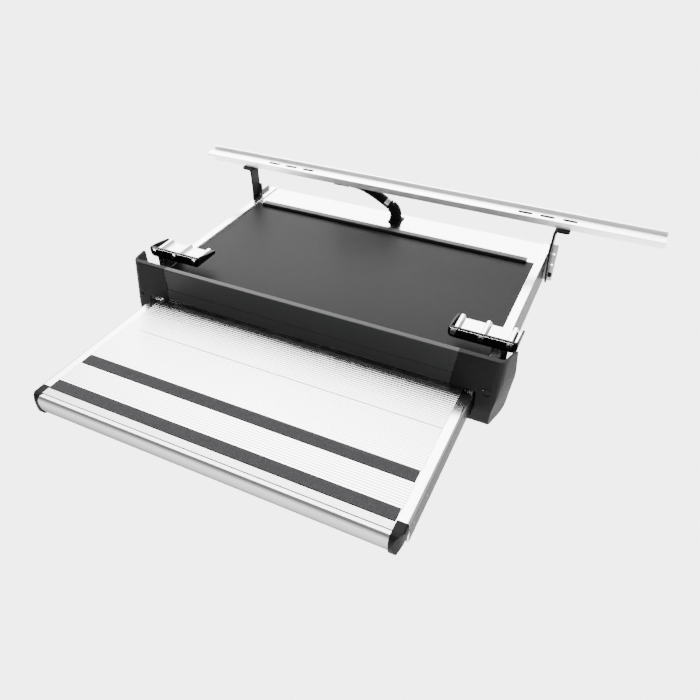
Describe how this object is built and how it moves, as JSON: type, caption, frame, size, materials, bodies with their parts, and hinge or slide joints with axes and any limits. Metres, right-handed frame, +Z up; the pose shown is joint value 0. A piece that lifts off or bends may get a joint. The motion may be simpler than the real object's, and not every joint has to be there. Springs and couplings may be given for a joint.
{
  "type": "slide-out entry step",
  "caption": "Electric slide-out entry step: a ribbed aluminium tread slides out of a flat under-floor cassette hung from a slotted cross rail and front brackets.",
  "frame": {"origin": "middle of the cross rail's upper face, where the kit is screwed up against the vehicle floor", "axes": "+X along the step's width and the cross rail, towards the right as seen by a person climbing in; +Y back under the vehicle, the way the tread slides in; +Z up"},
  "size_m": [0.883, 0.6808, 0.152],
  "materials": {
    "anodised_aluminium": "fine ribbed extrusion, satin silver anodised",
    "black_plastic": "moulded, fine grained",
    "grip_tape": "gritty anti-slip strip",
    "rubber": "matt, smooth",
    "anthracite": "satin anthracite powder coat on aluminium",
    "cover_sheet": "satin dark grey coating",
    "black_steel": "black powder coat",
    "zinc_steel": "bright zinc plating",
    "bright_steel": "bright drawn steel"
  },
  "bodies": {
    "cassette": {"side_rail_left": "anodised_aluminium", "side_rail_right": "anodised_aluminium", "cover_plate": "cover_sheet", "rear_plate": "zinc_steel", "rear_bar": "anthracite", "rear_seal": "rubber", "fascia_profile": "anthracite", "end_cap_left": "black_plastic", "end_cap_right": "black_plastic", "cap_plug_left": "black_plastic", "cap_plug_right": "black_plastic", "lock_tab": "black_steel", "lower_beam_front": "anodised_aluminium", "lower_beam_rear": "anodised_aluminium", "end_stop_left": "rubber", "end_stop_right": "rubber", "limit_switch": "black_plastic", "front_bearing": "black_plastic", "drive_gearbox": "black_steel", "drive_motor": "bright_steel", "motor_mount": "zinc_steel", "conduit_flange": "black_plastic", "conduit_elbow": "rubber", "conduit_hose": "rubber", "conduit_plug": "black_plastic", "cross_rail": "zinc_steel", "strut_left": "black_steel", "strut_right": "black_steel", "strut_bolt_left": "black_steel", "strut_bolt_right": "black_steel", "strut_spacer_left": "zinc_steel", "strut_spacer_right": "zinc_steel", "strut_angle_left": "zinc_steel", "strut_angle_right": "zinc_steel", "strut_screw_left": "black_steel", "strut_screw_right": "black_steel", "bracket_frame_left": "black_steel", "bracket_frame_right": "black_steel", "nut_strip_left": "zinc_steel", "nut_strip_right": "zinc_steel", "clamp_plate_left": "zinc_steel", "clamp_plate_right": "zinc_steel", "clamp_foot_left": "zinc_steel", "clamp_foot_right": "zinc_steel"},
    "tray": {"tread_front": "anodised_aluminium", "tread_rear": "anodised_aluminium", "nose_profile": "anodised_aluminium", "nose_cap_left": "black_plastic", "nose_cap_right": "black_plastic", "tray_rail_left": "anodised_aluminium", "tray_rail_right": "anodised_aluminium", "grip_strip_front": "grip_tape", "grip_strip_rear": "grip_tape", "tray_rear_beam": "zinc_steel", "spindle_nut": "black_plastic", "glide_shoe_left": "black_plastic", "glide_shoe_right": "black_plastic"},
    "spindle": {"drive_spindle": "bright_steel", "shaft_coupling": "anodised_aluminium", "gearbox_shaft": "bright_steel"}
  },
  "joints": [
    {"name": "tray_slide", "type": "slide", "parent": "cassette", "child": "tray", "axis": [0, 1, 0], "range_m": [0, 0.26]},
    {"name": "spindle_spin", "type": "hinge", "parent": "cassette", "child": "spindle", "pos_m": [0, -0.1645, -0.119], "axis": [0, 1, 0], "range_deg": [-3750, 0]}
  ],
  "couplings": [
    {"joint": "spindle_spin", "follows": "tray_slide", "rad_per_m": -251.33}
  ]
}
